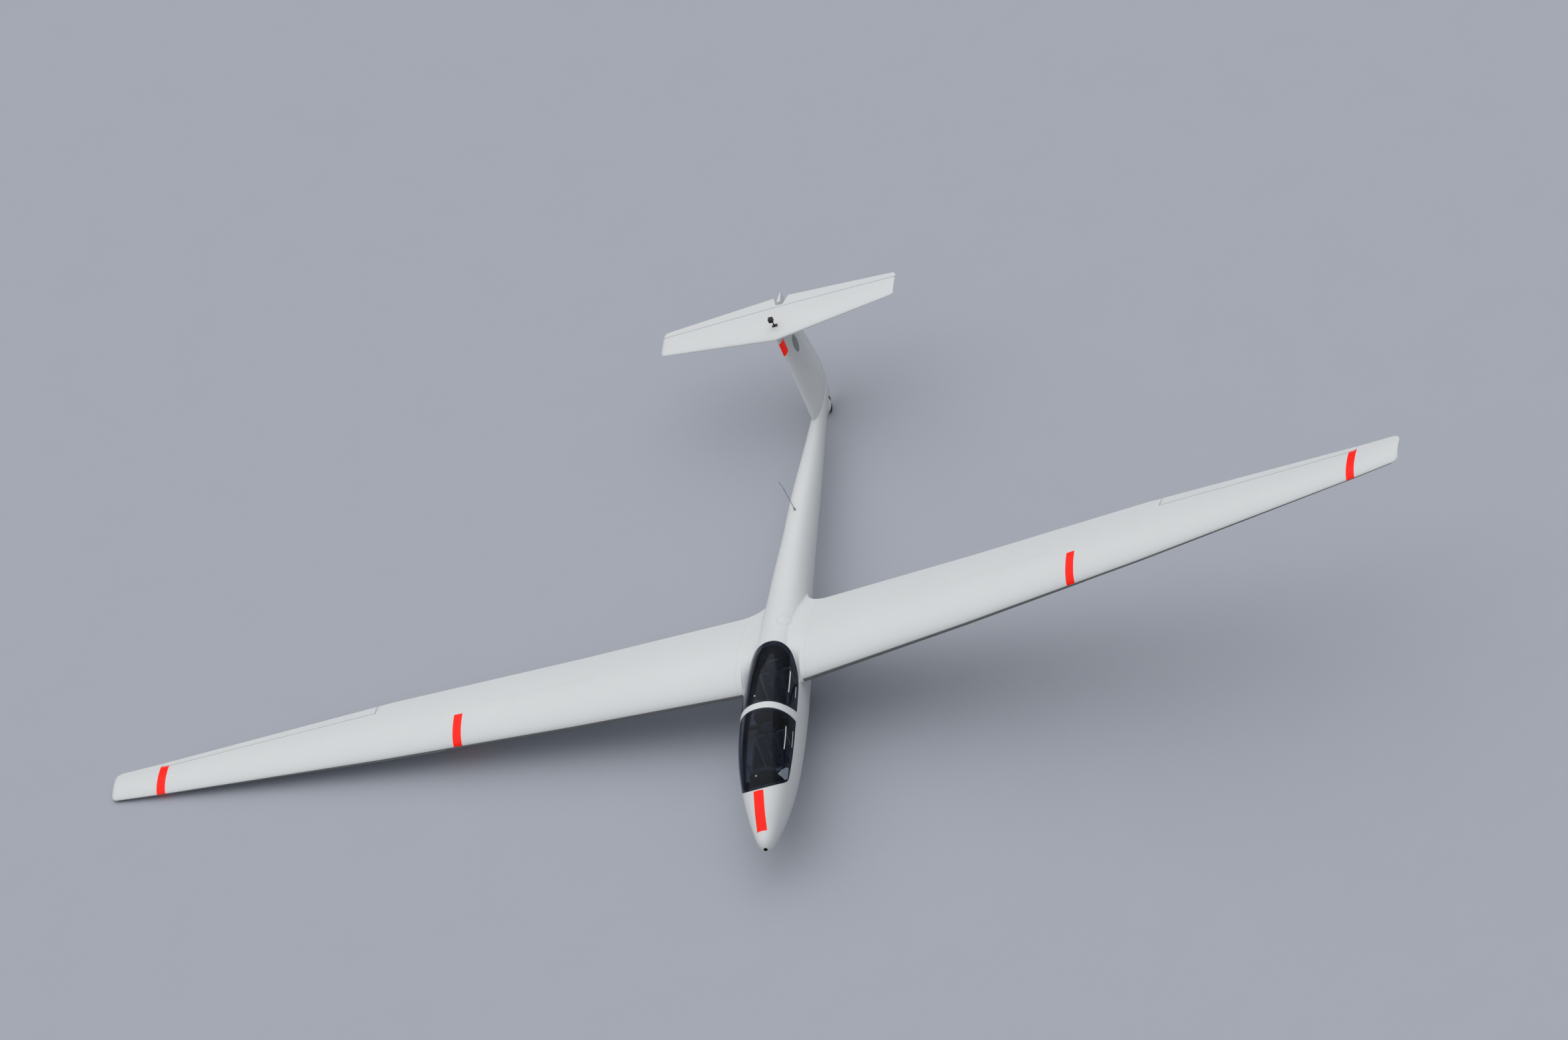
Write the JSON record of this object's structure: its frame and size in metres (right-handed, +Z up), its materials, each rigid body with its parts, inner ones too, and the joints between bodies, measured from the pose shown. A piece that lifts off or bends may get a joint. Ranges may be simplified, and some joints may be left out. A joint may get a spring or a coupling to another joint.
{
  "type": "sailplane glider",
  "caption": "Tandem-seat training sailplane with a T-tail, parked with its starboard wing tip down; canopies, airbrakes, wheels and control surfaces move.",
  "frame": {"origin": "centre of the bounding box at ground level", "axes": "+X along the span to the port wing tip, +Y aft along the fuselage, +Z up"},
  "size_m": [16.698, 8.4284, 3.2515],
  "materials": {
    "gelcoat": "gloss",
    "canopy": "clear",
    "canopy_frame": "satin",
    "seat_shell": "satin",
    "cushion": "matt",
    "panel": "matt",
    "airbrake": "satin",
    "steel": "satin",
    "rim": "satin",
    "tyre": "matt",
    "black": "satin"
  },
  "bodies": {
    "airframe": {"cockpit_shell": "gelcoat", "tail_boom": "gelcoat", "fin": "gelcoat", "stabiliser": "gelcoat", "left_wing": "gelcoat", "right_wing": "gelcoat", "canopy_arch": "gelcoat", "front_seat_pan": "seat_shell", "front_seat_cushion": "cushion", "front_back_cushion": "cushion", "front_headrest": "cushion", "front_stick": "black", "rear_seat_pan": "seat_shell", "rear_seat_cushion": "cushion", "rear_back_cushion": "cushion", "rear_headrest": "cushion", "rear_stick": "black", "front_instrument_panel": "panel", "rear_instrument_panel": "panel", "front_pedals": "steel", "rear_pedals": "steel", "left_console": "seat_shell", "right_console": "seat_shell", "main_axle": "steel", "nose_axle": "steel", "tail_axle": "steel", "nose_tow_hook": "steel", "belly_tow_hook": "steel", "energy_probe": "steel", "tail_camera": "black"},
    "front_canopy": {"front_canopy_frame": "canopy_frame", "front_canopy_glass": "canopy", "clear_vision_window": "canopy"},
    "rear_canopy": {"rear_canopy_frame": "canopy_frame", "rear_canopy_glass": "canopy"},
    "left_aileron_body": {"left_aileron": "gelcoat"},
    "right_aileron_body": {"right_aileron": "gelcoat"},
    "left_airbrake_body": {"left_airbrake": "airbrake"},
    "right_airbrake_body": {"right_airbrake": "airbrake"},
    "elevator_body": {"elevator": "gelcoat"},
    "rudder_body": {"rudder": "gelcoat"},
    "main_wheel": {"main_tyre": "tyre", "main_rim": "rim"},
    "nose_wheel": {"nose_tyre": "tyre", "nose_rim": "rim"},
    "tail_wheel": {"tail_tyre": "tyre", "tail_rim": "rim"}
  },
  "joints": [
    {"name": "front_canopy_hinge", "type": "hinge", "parent": "airframe", "child": "front_canopy", "pos_m": [0.1591, -3.56299, 0.96486], "axis": [0.982, 0.014, 0.1885], "range_deg": [0, 65]},
    {"name": "rear_canopy_hinge", "type": "hinge", "parent": "airframe", "child": "rear_canopy", "pos_m": [0.11429, -1.11465, 1.01688], "axis": [-0.982, -0.014, -0.1885], "range_deg": [0, 65]},
    {"name": "left_aileron_hinge", "type": "hinge", "parent": "airframe", "child": "left_aileron_body", "pos_m": [5.178, -0.74598, 2.19678], "axis": [0.9487, -0.0887, 0.3035], "range_deg": [-12, 20]},
    {"name": "right_aileron_hinge", "type": "hinge", "parent": "airframe", "child": "right_aileron_body", "pos_m": [-5.03453, -0.89126, 0.23643], "axis": [0.9908, 0.1163, 0.0688], "range_deg": [-12, 20]},
    {"name": "left_airbrake_slide", "type": "slide", "parent": "airframe", "child": "left_airbrake_body", "axis": [-0.2671, 0.0712, 0.961], "range_m": [0, 0.12]},
    {"name": "right_airbrake_slide", "type": "slide", "parent": "airframe", "child": "right_airbrake_body", "axis": [-0.1097, 0.0735, 0.9912], "range_m": [0, 0.12]},
    {"name": "elevator_hinge", "type": "hinge", "parent": "airframe", "child": "elevator_body", "pos_m": [-0.05666, 3.94749, 1.53225], "axis": [0.982, 0.014, 0.1885], "range_deg": [-20, 25]},
    {"name": "rudder_hinge", "type": "hinge", "parent": "airframe", "child": "rudder_body", "pos_m": [0.22743, 3.76262, 0.066], "axis": [-0.1881, 0.1714, 0.9671], "range_deg": [-30, 30]},
    {"name": "main_wheel_spin", "type": "hinge", "parent": "airframe", "child": "main_wheel", "pos_m": [0.27657, -1.24657, 0.18122], "axis": [0.982, 0.014, 0.1885], "continuous": true},
    {"name": "nose_wheel_spin", "type": "hinge", "parent": "airframe", "child": "nose_wheel", "pos_m": [0.26939, -3.2882, 0.36994], "axis": [0.982, 0.014, 0.1885], "continuous": true},
    {"name": "tail_wheel_spin", "type": "hinge", "parent": "airframe", "child": "tail_wheel", "pos_m": [0.22289, 3.62075, 0.10015], "axis": [0.982, 0.014, 0.1885], "continuous": true}
  ]
}
